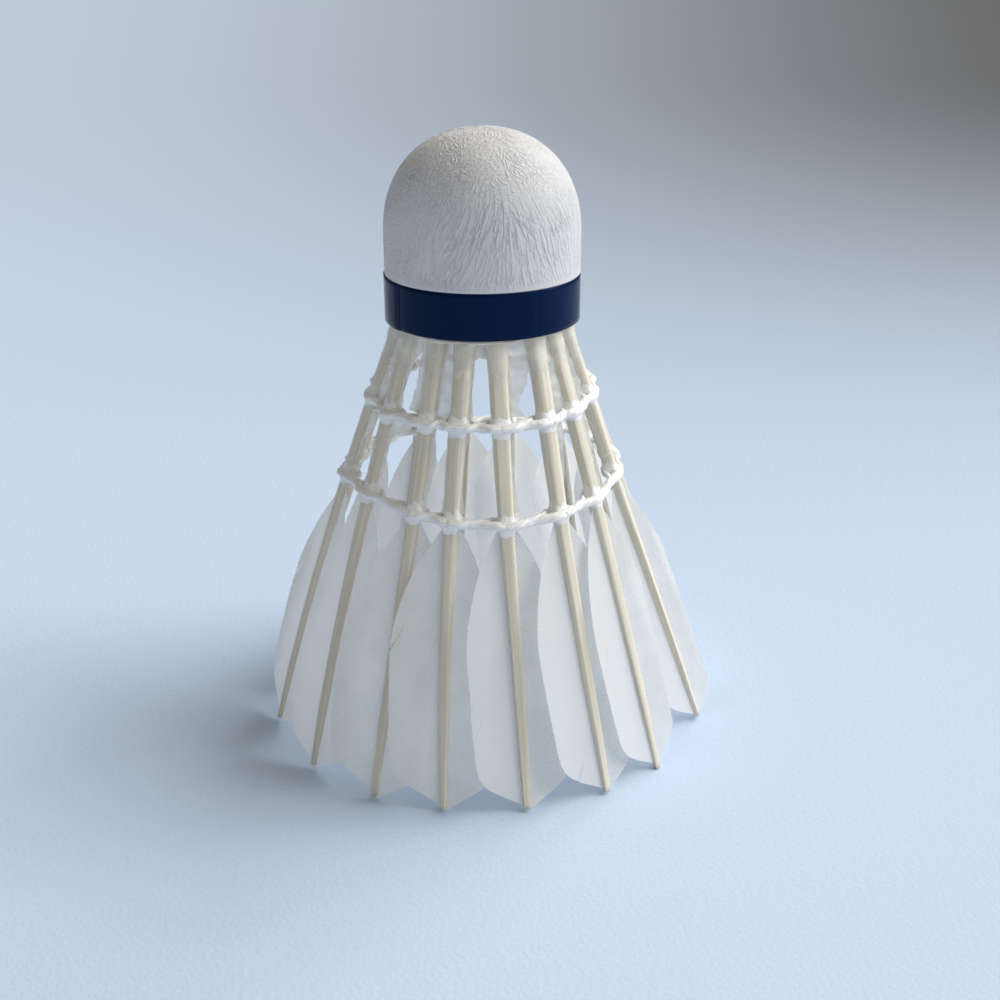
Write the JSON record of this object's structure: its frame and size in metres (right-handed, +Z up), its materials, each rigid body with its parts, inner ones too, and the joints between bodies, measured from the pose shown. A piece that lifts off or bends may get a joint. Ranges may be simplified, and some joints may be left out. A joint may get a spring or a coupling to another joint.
{
  "type": "badminton shuttlecock",
  "caption": "Feather shuttlecock with a leather-covered cork base, a taped rim and a cone of overlapping feathers bound by thread rows.",
  "frame": {"origin": "middle of the ring of feather tips, on the floor that they stand on", "axes": "+Z up along the axis to the cork, -Y towards the front of the picture, +X to its right"},
  "size_m": [0.0632, 0.0632, 0.0845],
  "materials": {
    "cork": "matte natural cork",
    "white_leather": "matte wrinkled white leather",
    "navy_tape": "glossy navy tape",
    "dried_glue": "dried pale glue",
    "ivory_quill": "ivory feather shaft",
    "white_vane": "white feather barbs",
    "glued_thread": "white thread soaked in clear glue"
  },
  "bodies": {
    "root": {"cork_core": "cork", "leather_cover": "white_leather", "tape_band": "navy_tape", "root_glue": "dried_glue", "upper_thread_a": "glued_thread", "upper_thread_b": "glued_thread", "lower_thread_a": "glued_thread", "lower_thread_b": "glued_thread", "quill_01": "ivory_quill", "quill_02": "ivory_quill", "quill_03": "ivory_quill", "quill_04": "ivory_quill", "quill_05": "ivory_quill", "quill_06": "ivory_quill", "quill_07": "ivory_quill", "quill_08": "ivory_quill", "quill_09": "ivory_quill", "quill_10": "ivory_quill", "quill_11": "ivory_quill", "quill_12": "ivory_quill", "quill_13": "ivory_quill", "quill_14": "ivory_quill", "quill_15": "ivory_quill", "quill_16": "ivory_quill", "vane_left_01": "white_vane", "vane_left_02": "white_vane", "vane_left_03": "white_vane", "vane_left_04": "white_vane", "vane_left_05": "white_vane", "vane_left_06": "white_vane", "vane_left_07": "white_vane", "vane_left_08": "white_vane", "vane_left_09": "white_vane", "vane_left_10": "white_vane", "vane_left_11": "white_vane", "vane_left_12": "white_vane", "vane_left_13": "white_vane", "vane_left_14": "white_vane", "vane_left_15": "white_vane", "vane_left_16": "white_vane", "vane_right_01": "white_vane", "vane_right_02": "white_vane", "vane_right_03": "white_vane", "vane_right_04": "white_vane", "vane_right_05": "white_vane", "vane_right_06": "white_vane", "vane_right_07": "white_vane", "vane_right_08": "white_vane", "vane_right_09": "white_vane", "vane_right_10": "white_vane", "vane_right_11": "white_vane", "vane_right_12": "white_vane", "vane_right_13": "white_vane", "vane_right_14": "white_vane", "vane_right_15": "white_vane", "vane_right_16": "white_vane"}
  },
  "joints": []
}
